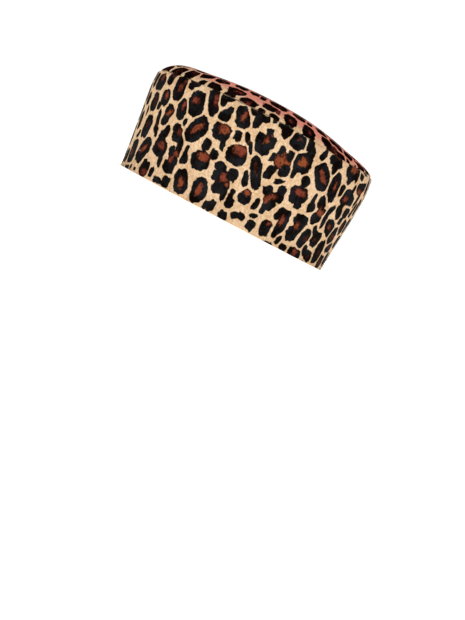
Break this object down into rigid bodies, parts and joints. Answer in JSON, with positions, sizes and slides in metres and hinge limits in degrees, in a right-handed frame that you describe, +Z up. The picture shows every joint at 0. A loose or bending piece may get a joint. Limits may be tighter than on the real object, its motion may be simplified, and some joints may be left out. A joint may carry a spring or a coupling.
{
  "type": "pillbox hat",
  "caption": "Oval pillbox hat of short-haired spotted hide: a slightly flared upright side band and a softly domed crown tip sewn onto it, open underneath for the head.",
  "frame": {"origin": "middle of the oval that the hat rests on, at the underside of the rim", "axes": "+Z up through the crown, -Y towards the front of the hat, +X towards the wearer's left"},
  "size_m": [0.192, 0.208, 0.0991],
  "materials": {
    "band_hide": "short-haired hide with a spotted print, soft sheen",
    "tip_hide": "short-haired hide with a spotted print on a pinkish ground, soft sheen"
  },
  "bodies": {
    "root": {"side_band": "band_hide", "crown_tip": "tip_hide"}
  },
  "joints": []
}
